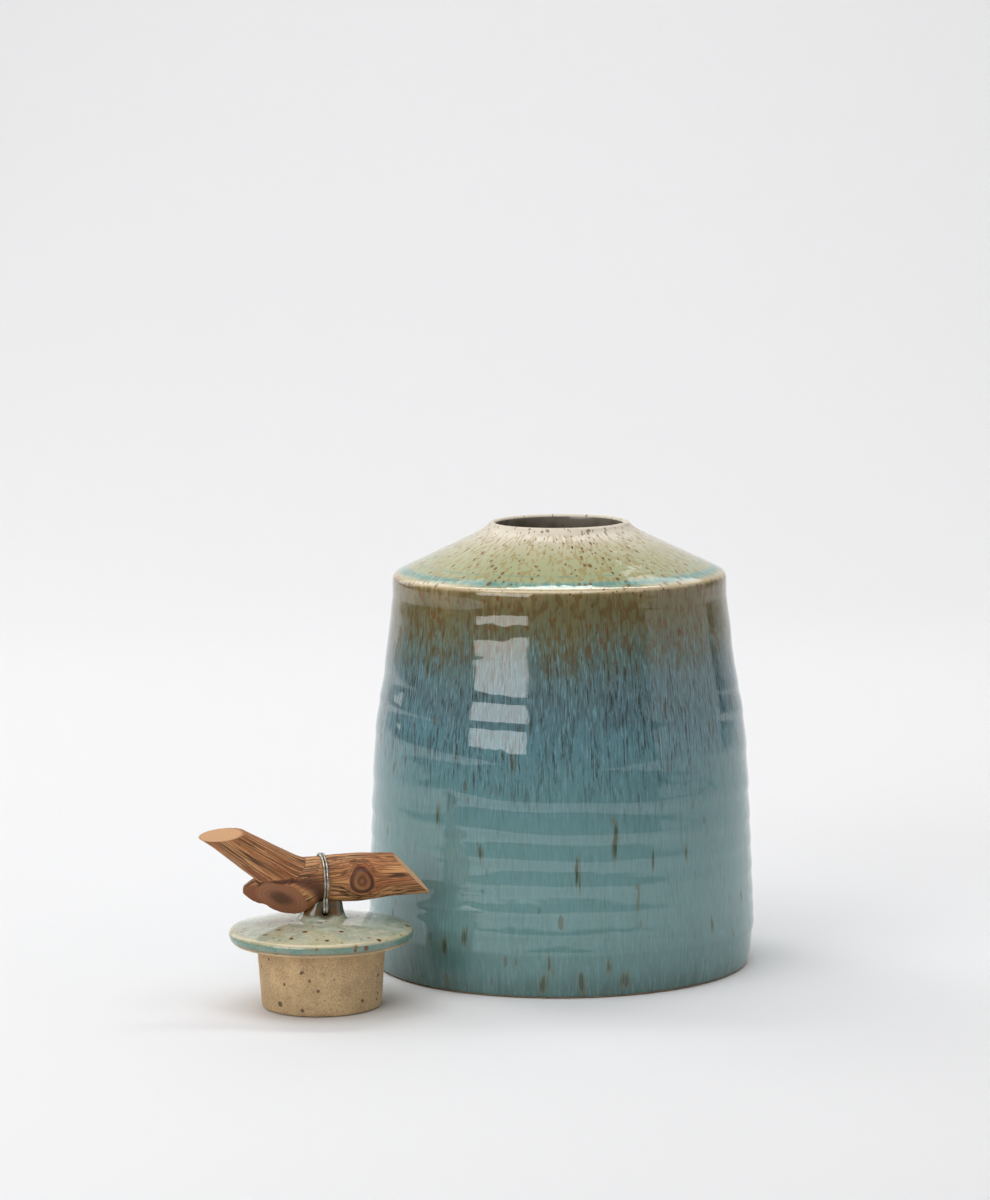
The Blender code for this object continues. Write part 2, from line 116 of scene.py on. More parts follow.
HANDLE_PLACE = LID_PLACE + Vector((TIE_OFFSET, 0.0, TWIG_HEIGHT))

# Limbs of the twig: along, back and up from the tie, then the radius.
TRUNK = [
    (-0.0140, 0.0, -0.0006, 0.0070), (-0.0110, 0.0, -0.0006, 0.0098), (0.0, 0.0, 0.0, 0.0098),
    (0.0153, 0.0, 0.0001, 0.0102), (0.0295, 0.0, 0.0004, 0.0092), (0.0545, 0.0, 0.0006, 0.0088),
]
ARM = [
    (-0.0030, 0.0, 0.0, 0.0087), (-0.0130, 0.0, 0.0018, 0.0092), (-0.0250, 0.0, 0.0092, 0.0082),
    (-0.0429, 0.0, 0.0212, 0.0061), (-0.0589, 0.0, 0.0310, 0.0056),
]
STUB = [
    (-0.0004, 0.0, 0.0, 0.0088), (-0.0100, -0.0012, -0.0032, 0.0096),
    (-0.0179, -0.0032, -0.0065, 0.0092), (-0.0339, -0.0064, -0.0130, 0.0088),
]
BURL = [
    (-0.0091, 0.0010, -0.0022, 0.0068), (-0.0201, 0.0028, -0.0040, 0.0068),
    (-0.0272, 0.0040, -0.0044, 0.0056), (-0.0322, 0.0040, -0.0044, 0.0026),
]
KNOT_REACH = 0.0153
KNOT_RADIUS = 0.0050
KNOT_SWIRL = KNOT_RADIUS * 1.02

# Saw cuts at the arm, the stub and the trunk's end: place and facing, from the tie.
SAW_CUTS = [
    ((-0.0429, 0.0, 0.0208), (-0.145, -0.26, 0.955)),
    ((-0.0179, -0.0032, -0.0065), (-0.484, -0.647, -0.590)),
    ((0.0385, 0.0, 0.0006), (0.73, -0.14, 0.67)),
]
SAW_REACH = 0.026

# The paper: where it starts in front, where it turns up, and how tightly.
PAPER_HALF_WIDTH = 2.2
PAPER_FRONT = -0.62
PAPER_TURN = 1.20
PAPER_CURVE = 0.70
PAPER_TOP = 2.60
PAPER_DROP = 0.0002

CAMERA_PLACE = (-0.02813, -1.76942, 0.37944)
CAMERA_LENS = 122.49
CAMERA_DIP = 0.12379
CAMERA_ROLL = 0.00796


def tint(red, green, blue):
    """Linear colour of a paint chip read as 0 to 255."""
    parts = [part / 255 for part in (red, green, blue)]
    return tuple(part / 12.92 if part < 0.0405 else ((part + 0.055) / 1.055) ** 2.4 for part in parts)


# ---------------------------------------------------------------- finishes


class Shade:
    """A shader value that Python's operators work on."""

    def __init__(self, finish, socket):
        self.finish = finish
        self.socket = socket

    def with_other(self, operation, first, second):
        return self.finish.add("ShaderNodeMath", {"operation": operation}, {0: first, 1: second})

    def __add__(self, other):
        return self.with_other("ADD", self, other)

    def __radd__(self, other):
        return self.with_other("ADD", other, self)

    def __sub__(self, other):
        return self.with_other("SUBTRACT", self, other)

    def __rsub__(self, other):
        return self.with_other("SUBTRACT", other, self)

    def __mul__(self, other):
        return self.with_other("MULTIPLY", self, other)

    def __rmul__(self, other):
        return self.with_other("MULTIPLY", other, self)

    def __truediv__(self, other):
        return self.with_other("DIVIDE", self, other)

    def __pow__(self, other):
        return self.with_other("POWER", self, other)

    def __abs__(self):
        return self.with_other("ABSOLUTE", self, 0.0)

    def larger(self, other):
        return self.with_other("MAXIMUM", self, other)

    def rise(self, low, high):
        """0 below low, 1 above high and a smooth step between; falls if low is above high."""
        return self.finish.add(
            "ShaderNodeMapRange", {"interpolation_type": "SMOOTHSTEP"},
            {"Value": self, "From Min": low, "From Max": high})

    def band(self, middle, width):
        """1 at middle, fading to 0 at width from it."""
        return abs(self - middle).rise(width, 0.0)


class Finish:
    """One material, and the one way that its nodes are added."""

    def __init__(self, name):
        self.material = bpy.data.materials.new(name)
        self.material.use_nodes = True
        self.tree = self.material.node_tree
        self.shader = self.tree.nodes["Principled BSDF"]

    def add(self, kind, settings=None, values=None, output=0):
        """Adds a node, sets it up, feeds its sockets and gives one of its outputs."""
        node = self.tree.nodes.new(kind)
        for name, setting in (settings or {}).items():
            if name == "stops":
                self.set_stops(node.color_ramp, setting)
            else:
                setattr(node, name, setting)
        for name, value in (values or {}).items():
            self.feed(node.inputs[name], value)
        return Shade(self, node.outputs[output])

    def set_stops(self, ramp, stops):
        while len(ramp.elements) < len(stops):
            ramp.elements.new(1.0)
        for element, (place, colour) in zip(ramp.elements, stops):
            element.position = place
            element.color = (*colour, 1.0)

    def feed(self, socket, value):
        if isinstance(value, Shade):
            self.tree.links.new(value.socket, socket)
        elif isinstance(value, tuple) and len(value) == 3 and socket.type == "RGBA":
            socket.default_value = (*value, 1.0)
        else:
            socket.default_value = value

    def place(self):
        """Position on the piece, in metres."""
        return self.add("ShaderNodeTexCoord", output="Object")

    def split(self, vector):
        return [self.add("ShaderNodeSeparateXYZ", values={0: vector}, output=axis) for axis in range(3)]

    def join(self, x, y, z):
        return self.add("ShaderNodeCombineXYZ", values={0: x, 1: y, 2: z})

    def attribute(self, name, output="Fac"):
        return self.add("ShaderNodeAttribute", {"attribute_name": name}, output=output)

    def stretched(self, vector, scales):
        return self.add("ShaderNodeVectorMath", {"operation": "MULTIPLY"}, {0: vector, 1: scales})

    def clouds(self, vector, scale=1.0, detail=2.0, roughness=0.5):
        """Soft noise from about 0.25 to 0.75; three scales stretch it."""
        if isinstance(scale, tuple):
            vector, scale = self.stretched(vector, scale), 1.0
        return self.add(
            "ShaderNodeTexNoise", {"noise_dimensions": "3D"},
            {"Vector": vector, "Scale": scale, "Detail": detail, "Roughness": roughness})

    def distance(self, vector, middle):
        """Millimetres from a place on the piece."""
        settings = {"operation": "DISTANCE"}
        return self.add("ShaderNodeVectorMath", settings, {0: vector, 1: middle}, output="Value") * 1000.0

    def specks(self, vector, scale, share, size):
        """Round spots in a share of the cells of a pattern, of mixed sizes up to size."""
        settings = {"voronoi_dimensions": "3D", "feature": "F1"}
        values = {"Vector": vector, "Scale": scale, "Randomness": 1.0}
        cells = self.add("ShaderNodeTexVoronoi", settings, values, output="Distance")
        lots = self.add("ShaderNodeTexVoronoi", settings, values, output="Color")
        luck, spread, _ = self.split(lots)
        reach = (luck - (1.0 - share)).larger(0.0) / share * size * (0.55 + 0.45 * spread)
        return ((reach - cells) / (0.22 * size)).rise(0.0, 1.0)

    def blend(self, share, first, second):
        """Colour between first, at share 0, and second, at share 1."""
        return self.add("ShaderNodeMix", {"data_type": "RGBA"}, {0: share, 6: first, 7: second}, output=2)

    def ramp(self, place, stops):
        return self.add("ShaderNodeValToRGB", {"stops": stops}, {0: place})

    def bump(self, height, depth, under=None):
        values = {"Height": height, "Strength": 1.0, "Distance": depth}
        if under is not None:
            values["Normal"] = under
        return self.add("ShaderNodeBump", values=values)

    def finish(self, **sockets):
        for name, value in sockets.items():
            self.feed(self.shader.inputs[name.replace("_", " ").title().replace("Ior", "IOR")], value)
        return self.material


def wall_places(finish):
    """Places on a thrown wall, round it at one radius and down it as one run; then radius and height."""
    x, y, z = finish.split(finish.place())
    radius = (x * x + y * y) ** 0.5
    across = finish.join(x / radius * STREAK_RADIUS, y / radius * STREAK_RADIUS, z - radius)
    return across, radius, z


def jar_glaze():
    """Floating blue over iron stoneware: pale where thin, with iron fibres running down."""
    glaze = Finish("jar_glaze")
    across, radius, z = wall_places(glaze)
    height = z * 1000.0
    drift = glaze.clouds(across, (60.0, 60.0, 14.0), detail=3.0)
    tongue = glaze.clouds(across, (300.0, 300.0, 34.0), detail=3.0)
    fibre = glaze.clouds(across, (1150.0, 1150.0, 105.0), detail=3.0, roughness=0.65)
    thread = glaze.clouds(across, (1800.0, 1800.0, 150.0), detail=2.0, roughness=0.6)

    # Body colour down the wall, its borders pulled down in tongues.
    level = height + (drift - 0.5) * 18.0 + (tongue - 0.5) * 18.0
    body = glaze.ramp(level / 200.0, [
        (0.000, tint(72, 106, 100)),
        (0.050, tint(92, 132, 130)),
        (0.180, tint(112, 150, 150)),
        (0.330, tint(108, 147, 148)),
        (0.440, tint(98, 138, 142)),
        (0.540, tint(92, 132, 140)),
        (0.600, tint(88, 117, 124)),
        (0.660, tint(94, 121, 124)),
        (0.710, tint(94, 112, 102)),
        (0.760, tint(108, 110, 82)),
        (0.815, tint(116, 110, 74)),
        (0.850, tint(134, 120, 82)),
        (0.880, tint(158, 144, 104)),
    ])

    # Iron fibres: strong under the shoulder, faint on the belly.
    fibre_zone = level.rise(72.0, 106.0) * level.rise(176.0, 160.0)
    cluster = 0.45 + 0.55 * tongue.rise(0.40, 0.60)
    fibre_strength = 0.16 + 0.70 * fibre_zone - 0.22 * level.rise(140.0, 156.0)
    iron = glaze.blend(level.rise(132.0, 152.0), tint(56, 55, 50), tint(84, 60, 32))
    body = glaze.blend(fibre.rise(0.49, 0.60) * cluster * fibre_strength, body, iron)
    pale_fibre = thread.rise(0.50, 0.68) * (0.34 + 0.30 * fibre_zone) * level.rise(165.0, 140.0)
    body = glaze.blend(pale_fibre, body, tint(128, 166, 174))
    mottle = glaze.clouds(across, (420.0, 420.0, 170.0), detail=3.0)
    rust = mottle.rise(0.50, 0.62) * level.rise(128.0, 148.0)
    body = glaze.blend(rust * 0.60, body, tint(98, 72, 32))

    # Runs of iron: dark and green at heart, brown at their ragged edges.
    run_depth = glaze.attribute("iron_run")
    run_field = run_depth + (fibre - 0.5) * 1.6 + (thread - 0.5) * 0.8
    run_edge = run_field.rise(0.30, 0.62) * run_depth.rise(0.08, 0.30)
    run_heart = run_field.rise(0.56, 0.92) * run_depth.rise(0.20, 0.50)
    body = glaze.blend(run_edge * 0.50, body, tint(108, 104, 68))
    body = glaze.blend(run_heart * 0.70, body, tint(44, 62, 54))
    flecks = glaze.specks(glaze.stretched(across, (1.0, 1.0, 0.34)), 130.0, 0.60, 0.26)
    flecks = flecks * fibre.rise(0.36, 0.52) * height.rise(150.0, 120.0)
    body = glaze.blend(flecks * 0.6, body, tint(92, 84, 50))

    # Shoulder: pale celadon over iron, cream at the neck, teal pooled at the edge.
    slope = ((SHOULDER_RADIUS - radius) / (SHOULDER_RADIUS - LIP_FOOT)).larger(0.0)
    cone = glaze.ramp(slope + (drift - 0.5) * 0.30 + (mottle - 0.5) * 0.25, [
        (0.00, tint(144, 172, 158)),
        (0.08, tint(160, 176, 148)),
        (0.20, tint(166, 170, 130)),
        (0.55, tint(178, 178, 140)),
        (0.75, tint(196, 190, 158)),
        (0.92, tint(212, 202, 180)),
    ])
    cone = glaze.blend(mottle.rise(0.47, 0.61) * 0.60, cone, tint(160, 136, 78))
    pool = slope.band(0.120, 0.075) * mottle.rise(0.28, 0.56)
    cone = glaze.blend(pool * 0.85, cone, tint(92, 150, 148))
    ring = (slope + (drift - 0.5) * 0.05).band(0.27, 0.022) * drift.rise(0.40, 0.62)
    cone = glaze.blend(ring * 0.6, cone, tint(110, 154, 140))
    colour = glaze.blend(height.rise(171.6, 172.3), body, cone)

    # Thin glaze on the shoulder's edge and the lip breaks to cream and tan.
    edge = (height + (tongue - 0.5) * 1.4).band(171.5, 1.7)
    colour = glaze.blend(edge * 0.9, colour, tint(206, 186, 146))
    colour = glaze.blend(height.rise(190.0, 192.0), colour, tint(210, 198, 176))

    # Iron specks, drawn out down the wall.
    upper = height.rise(136.0, 160.0)
    fine = glaze.specks(glaze.stretched(across, (0.8, 0.8, 0.50)), 430.0, 0.90, 0.56)
    colour = glaze.blend(fine * (0.08 + 0.72 * upper), colour, tint(116, 76, 32))
    coarse = glaze.specks(glaze.stretched(across, (1.0, 1.0, 0.50)), 210.0, 0.30, 0.30)
    colour = glaze.blend(coarse * (0.30 + 0.60 * upper), colour, tint(88, 48, 22))
    edge_iron = glaze.specks(glaze.stretched(across, (1.0, 1.0, 0.7)), 560.0, 0.70, 0.48)
    colour = glaze.blend(edge_iron * height.band(169.8, 4.0) * 0.9, colour, tint(102, 58, 30))
    lip_iron = glaze.specks(glaze.place(), 400.0, 0.70, 0.48)
    colour = glaze.blend(lip_iron * height.rise(188.5, 191.0) * 0.8, colour, tint(104, 62, 36))

    # Bare line where the foot was wiped.
    bare = (height + (tongue - 0.5) * 1.2).rise(0.9, 0.5)
    colour = glaze.blend(bare, colour, tint(66, 62, 52))

    ripple = glaze.clouds(across, (70.0, 70.0, 75.0), detail=2.0)
    skin = glaze.bump(ripple, 0.00022, glaze.bump(tongue, 0.00004, glaze.bump(fibre, 0.00001)))
    roughness = 0.045 + 0.45 * bare + 0.30 * height.rise(187.0, 190.0)
    return glaze.finish(base_color=colour, roughness=roughness, normal=skin, ior=1.68)


def liner_glaze():
    """Pale grey glaze inside the jar, with iron specks."""
    glaze = Finish("liner_glaze")
    mottle = glaze.clouds(glaze.place(), 80.0, detail=3.0)
    colour = glaze.blend(mottle.rise(0.35, 0.65), tint(98, 91, 79), tint(128, 121, 107))
    specks = glaze.specks(glaze.place(), 320.0, 0.60, 0.44)
    colour = glaze.blend(specks * 0.85, colour, tint(66, 40, 24))
    skin = glaze.bump(mottle, 0.00020)
    return glaze.finish(base_color=colour, roughness=0.10 + 0.06 * mottle, normal=skin, ior=1.6)


def clay_colour(clay, spot):
    """Buff stoneware: sandy, with dark iron grains."""
    sand = clay.clouds(spot, 1300.0, detail=3.0, roughness=0.7)
    patch = clay.clouds(spot, 110.0, detail=3.0)
    colour = clay.blend(patch.rise(0.35, 0.65), tint(188, 158, 116), tint(210, 180, 134))
    colour = clay.blend(sand.rise(0.50, 0.68) * 0.65, colour, tint(140, 110, 74))
    colour = clay.blend(sand.rise(0.46, 0.32) * 0.50, colour, tint(228, 204, 164))
    iron = clay.specks(spot, 290.0, 0.50, 0.42)
    blots = clay.specks(spot, 120.0, 0.32, 0.24)
    colour = clay.blend(iron * 0.80, colour, tint(72, 46, 32))
    colour = clay.blend(blots * 0.85, colour, tint(74, 60, 38))
    return colour, sand


def bare_clay():
    clay = Finish("bare_clay")
    colour, sand = clay_colour(clay, clay.place())
    return clay.finish(base_color=colour, roughness=0.82, normal=clay.bump(sand, 0.00012))


def lid_glaze():
    """Celadon over iron on the lid, tan where it thins, stopping at the bare plug."""
    glaze = Finish("lid_glaze")
    spot = glaze.place()
    x, y, z = glaze.split(spot)
    radius = (x * x + y * y) ** 0.5 * 1000.0
    height = z * 1000.0
    mottle = glaze.clouds(spot, 190.0, detail=4.0, roughness=0.65)
    drift = glaze.clouds(spot, 45.0, detail=2.0)
    grain = glaze.clouds(spot, 900.0, detail=2.0)
    colour = glaze.blend(mottle.rise(0.38, 0.64), tint(170, 178, 156), tint(198, 200, 178))
    colour = glaze.blend(drift.rise(0.44, 0.62) * 0.50, colour, tint(196, 180, 136))
    colour = glaze.blend(grain.rise(0.52, 0.70) * 0.30, colour, tint(122, 134, 108))
    lug = (height + (mottle - 0.5) * 3.0).rise(38.0, 40.0)
    colour = glaze.blend(lug * 0.9, colour, tint(78, 78, 54))
    corner = radius.rise(6.0, 8.0) * height.rise(38.4, 40.2)
    colour = glaze.blend(corner * mottle.rise(0.40, 0.56) * 0.8, colour, tint(126, 88, 48))
    from_hole = glaze.distance(spot, (TIE_OFFSET + 0.0016, -LUG_HALF_DEPTH, WIRE_HOLE_HEIGHT - 0.0008))
    hole_stain = (from_hole + (mottle - 0.5) * 2.4).rise(4.2, 1.6)
    colour = glaze.blend(hole_stain * 0.85, colour, tint(70, 50, 26))

    # Cream where the edge is sharp, teal pooled on the side below it.
    rim = (radius + (mottle - 0.5) * 3.0).rise(36.0, 37.4)
    colour = glaze.blend(rim * height.rise(30.4, 31.8) * 0.65, colour, tint(206, 190, 150))
    side = radius.rise(36.8, 37.8) * (height + (mottle - 0.5) * 1.6).rise(32.4, 31.2)
    colour = glaze.blend(side * (0.70 + 0.25 * mottle.rise(0.40, 0.60)), colour, tint(92, 136, 124))

    # A short, thin brown arc on the dome's front left.
    arc = glaze.distance(spot, (-0.0155, -0.0090, 0.0350)).band(6.0, 0.35)
    arc = arc * x.rise(-0.0165, -0.0175) * y.rise(-0.0100, -0.0092)
    colour = glaze.blend(arc, colour, tint(120, 62, 44))

    # Iron specks, more of them toward one side.
    gather = 0.45 + 0.55 * (x * 0.7 - y * 0.7).rise(-0.012, 0.018)
    fine = glaze.specks(spot, 380.0, 0.55, 0.46)
    coarse = glaze.specks(spot, 190.0, 0.75, 0.40)
    colour = glaze.blend(fine * gather * 0.75, colour, tint(140, 96, 48))
    colour = glaze.blend(coarse * gather, colour, tint(106, 64, 28))
    edge_iron = glaze.specks(spot, 520.0, 0.60, 0.45)
    colour = glaze.blend(edge_iron * rim * height.band(31.2, 1.6) * 0.8, colour, tint(128, 84, 42))

    clay, sand = clay_colour(glaze, spot)
    bare = (height + (mottle - 0.5) * 0.8).rise(28.6, 28.1)
    colour = glaze.blend(bare, colour, clay)
    line = (height + (mottle - 0.5) * 0.8).band(28.9, 0.8) * radius.rise(34.0, 37.0)
    colour = glaze.blend(line * 0.8, colour, tint(146, 112, 68))
    ripple = glaze.clouds(spot, 120.0, detail=2.0)
    skin = glaze.bump(ripple, 0.00012, glaze.bump(sand * bare, 0.00016))
    return glaze.finish(base_color=colour, roughness=0.06 + 0.76 * bare, normal=skin, ior=1.66)


def twig_wood():
    """Debarked hardwood: warm brown ribs, fine dark fissures, darker rings round the knot, and painted shade
    in the crease beside the stub.
    """
    wood = Finish("twig_wood")
    grain = wood.attribute("grain", "Vector")
    fissure = wood.attribute("fissure")
    shadow = wood.attribute("shadow")
    patch = wood.clouds(grain, (40.0, 110.0, 110.0), detail=3.0)
    rib = wood.clouds(grain, (16.0, 600.0, 600.0), detail=1.0)
    strand = wood.clouds(grain, (34.0, 1500.0, 1500.0), detail=2.0, roughness=0.6)
    plain = shadow.rise(0.35, 0.05)
    crack = abs(rib - 0.5).rise(0.050, 0.012) * (0.55 + 0.45 * patch.rise(0.40, 0.55)) * plain
    groove = abs(wood.clouds(grain, (14.0, 950.0, 950.0), detail=1.0) - 0.5)
    crack = crack.larger(groove.rise(0.034, 0.008) * 0.7 * plain)
    hair = abs(strand - 0.5).rise(0.035, 0.0) * plain
    colour = wood.blend(patch.rise(0.34, 0.66), tint(196, 128, 76), tint(230, 170, 112))
    colour = wood.blend(rib.rise(0.52, 0.66) * 0.50, colour, tint(160, 88, 50))
    colour = wood.blend(strand.rise(0.56, 0.72) * 0.40, colour, tint(232, 184, 138))
    colour = wood.blend(hair * 0.60, colour, tint(96, 50, 28))
    colour = wood.blend((crack * 0.92).larger(fissure.rise(0.35, 0.95) * 0.80), colour, tint(56, 28, 16))
    # The knot's own dark rim and core, and painted shade in the crease where the stub and its burl meet the
    # other limbs.
    colour = wood.blend(shadow.rise(0.0, 0.8) * 0.90, colour, tint(72, 34, 20))
    skin = wood.bump(crack, -0.00035, wood.bump(strand, 0.00016))
    return wood.finish(base_color=colour, roughness=0.50 + 0.20 * fissure, normal=skin, ior=1.45)


def sawn_wood(name, centre, along, radius, pale, dark, heart):
    """Sawn end of a limb: growth rings round its middle, fine pores, and a dark heart if it has one."""
    wood = Finish(name)
    vectors = "ShaderNodeVectorMath"
    away = wood.add(vectors, {"operation": "SUBTRACT"}, {0: wood.place(), 1: centre})
    slide = wood.add(vectors, {"operation": "DOT_PRODUCT"}, {0: away, 1: along}, output="Value")
    down = wood.add(vectors, {"operation": "SCALE"}, {0: along, "Scale": slide})
    flat = wood.add(vectors, {"operation": "SUBTRACT"}, {0: away, 1: down})
    reach = wood.add(vectors, {"operation": "LENGTH"}, {0: flat}, output="Value") / radius
    wander = wood.clouds(wood.place(), 260.0, detail=2.0)
    pores = wood.clouds(wood.place(), 2600.0, detail=2.0, roughness=0.7)
    rings = wood.add("ShaderNodeMath", {"operation": "SINE"}, {0: (reach + (wander - 0.5) * 0.22) * 38.0})
    colour = wood.blend((0.5 + 0.5 * rings) * 0.30, pale, dark)
    colour = wood.blend(pores.rise(0.52, 0.74) * 0.35, colour, dark)
    colour = wood.blend((reach + (wander - 0.5) * 0.25).rise(0.62, 0.20) * heart, colour, tint(70, 46, 34))
    colour = wood.blend(reach.rise(0.86, 1.0) * 0.7, colour, tint(132, 76, 44))
    skin = wood.bump(pores, 0.00014)
    return wood.finish(base_color=colour, roughness=0.72, normal=skin, ior=1.45)


def wire_steel():
    """Drawn steel wire, bright with faint drawing lines and dull spots."""
    steel = Finish("wire_steel")
    spot = steel.place()
    dull = steel.clouds(spot, 700.0, detail=3.0)
    colour = steel.blend(dull.rise(0.40, 0.68), tint(190, 187, 178), tint(146, 138, 124))
    skin = steel.bump(steel.clouds(spot, 2600.0), 0.00001)
    return steel.finish(
        base_color=colour, metallic=1.0, roughness=0.20 + 0.22 * dull.rise(0.35, 0.70), normal=skin)


def studio_paper():
    paper = Finish("studio_paper")
    fibre = paper.clouds(paper.place(), 900.0, detail=2.0)
    colour = paper.blend(fibre, (0.78, 0.78, 0.785), (0.80, 0.80, 0.805))
    return paper.finish(base_color=colour, roughness=0.9)


# ---------------------------------------------------------------- mesh tools


def add_piece(name, points, faces, materials, place=(0.0, 0.0, 0.0), turn=0.0):
    mesh = bpy.data.meshes.new(name)
    mesh.from_pydata([tuple(point) for point in points], [], faces)
    mesh.validate()
    mesh.shade_smooth()
    for material in materials:
        mesh.materials.append(material)
    piece = bpy.data.objects.new(name, mesh)
    bpy.context.scene.collection.objects.link(piece)
    piece.location = place
    piece.rotation_euler = (0.0, 0.0, turn)
    return piece


def points_of(mesh):
    points = np.empty(len(mesh.vertices) * 3)
    mesh.vertices.foreach_get("co", points)
    return points.reshape(-1, 3)


def set_points(mesh, points):
    mesh.vertices.foreach_set("co", points.ravel())
    mesh.update()


def cad_outline(node, middle, start):
    """Outline of a turned CAD node: radius and height of each corner, from the one nearest start on."""
    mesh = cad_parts[node].data
    points = points_of(mesh) - np.array([middle[0], middle[1], 0.0])
    keys = [tuple(np.round(point * 1e5).astype(int)) for point in points]
    flat = {key for key in keys if abs(key[1]) <= 1 and key[0] >= 0}
    near = {key: set() for key in flat}
    for edge in mesh.edges:
        first, last = keys[edge.vertices[0]], keys[edge.vertices[1]]
        if first in flat and last in flat and first != last:
            near[first].add(last)
            near[last].add(first)
    here = min(flat, key=lambda key: math.hypot(key[0] * 1e-5 - start[0], key[2] * 1e-5 - start[1]))
    path = [here]
    while True:
        ahead = [key for key in near[here] if key not in path]
        if not ahead:
            return np.array([(0.0, path[0][2] * 1e-5)] + [(key[0] * 1e-5, key[2] * 1e-5) for key in path])
        here = ahead[0]
        path.append(here)


def resampled(points, spacing):
    """Points at even steps along a polyline."""
    steps = np.linalg.norm(np.diff(points, axis=0), axis=1)
    along = np.concatenate([[0.0], np.cumsum(steps)])
    count = max(2, int(round(along[-1] / spacing)) + 1)
    even = np.linspace(0.0, along[-1], count)
    return np.stack([np.interp(even, along, points[:, axis]) for axis in range(points.shape[1])], axis=1)


def softened(outline, spread, spacing=0.0002):
    """An outline with its corners eased, ends held."""
    fine = resampled(outline, spacing)
    reach = int(3 * spread / spacing)
    weights = np.exp(-0.5 * (np.arange(-reach, reach + 1) * spacing / spread) ** 2)
    weights /= weights.sum()
    first = 2 * fine[0] - fine[1:reach + 1][::-1]
    last = 2 * fine[-1] - fine[-reach - 1:-1][::-1]
    padded = np.concatenate([first, fine, last])
    soft = np.stack([np.convolve(padded[:, axis], weights, "valid") for axis in range(2)], axis=1)
    soft[0, 0] = max(0.0, fine[0, 0])
    soft[-1, 0] = max(0.0, fine[-1, 0])
    return soft


def rounded(outline, height, spread, least_radius, reach):
    """An outline with the corner at a height rubbed rounder, beyond a radius."""
    soft = softened(outline, spread)
    soft = np.stack([np.interp(np.linspace(0, 1, len(outline)), np.linspace(0, 1, len(soft)), soft[:, axis])
                     for axis in range(2)], axis=1)
    near = np.clip(2.0 - np.abs(outline[:, 1] - height) / reach, 0.0, 1.0) * (outline[:, 0] > least_radius)
    return outline + (soft - outline) * near[:, None]


def thinned(points, turn, longest):
    """Drops points where an outline runs nearly straight."""
    kept = [0]
    bend, length = 0.0, 0.0
    steps = np.diff(points, axis=0)
    headings = np.unwrap(np.arctan2(steps[:, 1], steps[:, 0]))
    for index in range(1, len(points) - 1):
        bend += abs(headings[index] - headings[index - 1])
        length += np.linalg.norm(steps[index - 1])
        limit = longest(points[index])
        if bend > turn or length > limit:
            kept.append(index)
            bend, length = 0.0, 0.0
    kept.append(len(points) - 1)
    return points[kept]


def turned_points(outline, sides, shift):
    """Points and faces of a turned piece; shift moves each point out from the axis."""
    points, faces, rings = [], [], []
    angles = np.arange(sides) * 2 * math.pi / sides
    for radius, height in outline:
        if radius < 1e-5:
            rings.append([len(points)])
            points.append((0.0, 0.0, height))
            continue
        wide = radius + shift(angles, radius, height)
        start = len(points)
        points.extend(zip(wide * np.cos(angles), wide * np.sin(angles), np.full(sides, height)))
        rings.append(range(start, start + sides))
    for lower, upper in zip(rings, rings[1:]):
        for step in range(sides):
            after = (step + 1) % sides
            if len(lower) == 1:
                faces.append((lower[0], upper[after], upper[step]))
            elif len(upper) == 1:
                faces.append((lower[step], lower[after], upper[0]))
            else:
                faces.append((lower[step], lower[after], upper[after], upper[step]))
    return points, faces


def ring_faces(start, rings, sides):
    """Four-sided faces between rings of points that follow each other from start."""
    faces = []
    for ring in range(rings - 1):
        low, high = start + ring * sides, start + (ring + 1) * sides
        for step in range(sides):
            after = (step + 1) % sides
            faces.append((low + step, low + after, high + after, high + step))
    return faces


def smooth_stations(stations, steps):
    """Smooth curve through stations, as rows of numbers."""
    rows = np.array(stations, dtype=float)
    padded = np.concatenate([[2 * rows[0] - rows[1]], rows, [2 * rows[-1] - rows[-2]]])
    path = []
    for before, start, end, after in zip(padded, padded[1:], padded[2:], padded[3:]):
        for step in range(steps):
            t = step / steps
            path.append(0.5 * (2 * start + (end - before) * t
                               + (2 * before - 5 * start + 4 * end - after) * t ** 2
                               + (3 * start - before - 3 * end + after) * t ** 3))
    path.append(rows[-1])
    return np.array(path)


def frames_along(path):
    """Along, across and up directions at each point of a path."""
    along = np.gradient(path, axis=0)
    along /= np.linalg.norm(along, axis=1, keepdims=True)
    across = np.cross(along, np.array([0.0, 1.0, 0.0]))
    short = np.linalg.norm(across, axis=1) < 1e-4
    across[short] = np.cross(along[short], np.array([1.0, 0.0, 0.0]))
    across /= np.linalg.norm(across, axis=1, keepdims=True)
    return along, across, np.cross(along, across)


def tube_points(rows, sides, start=0):
    """Closed tube through rows of x, y, z and radius."""
    _, across, other = frames_along(rows[:, :3])
    angles = np.arange(sides) * 2 * math.pi / sides
    rings = (rows[:, None, :3]
             + rows[:, None, 3:4] * (np.cos(angles)[None, :, None] * across[:, None]
                                     + np.sin(angles)[None, :, None] * other[:, None]))
    points = list(rings.reshape(-1, 3)) + [rows[0, :3], rows[-1, :3]]
    faces = ring_faces(start, len(rows), sides)
    first, last = start + len(rows) * sides, start + len(rows) * sides + 1
    top = start + (len(rows) - 1) * sides
    for step in range(sides):
        after = (step + 1) % sides
        faces.append((first, start + after, start + step))
        faces.append((last, top + step, top + after))
    return points, faces


def apply_modifier(piece, kind, **settings):
    modifier = piece.modifiers.new(kind.title(), kind)
    for name, value in settings.items():
        setattr(modifier, name, value)
    for other in bpy.context.selected_objects:
        other.select_set(False)
    piece.select_set(True)
    bpy.context.view_layer.objects.active = piece
    bpy.ops.object.modifier_apply(modifier=modifier.name)


# ---------------------------------------------------------------- the jar


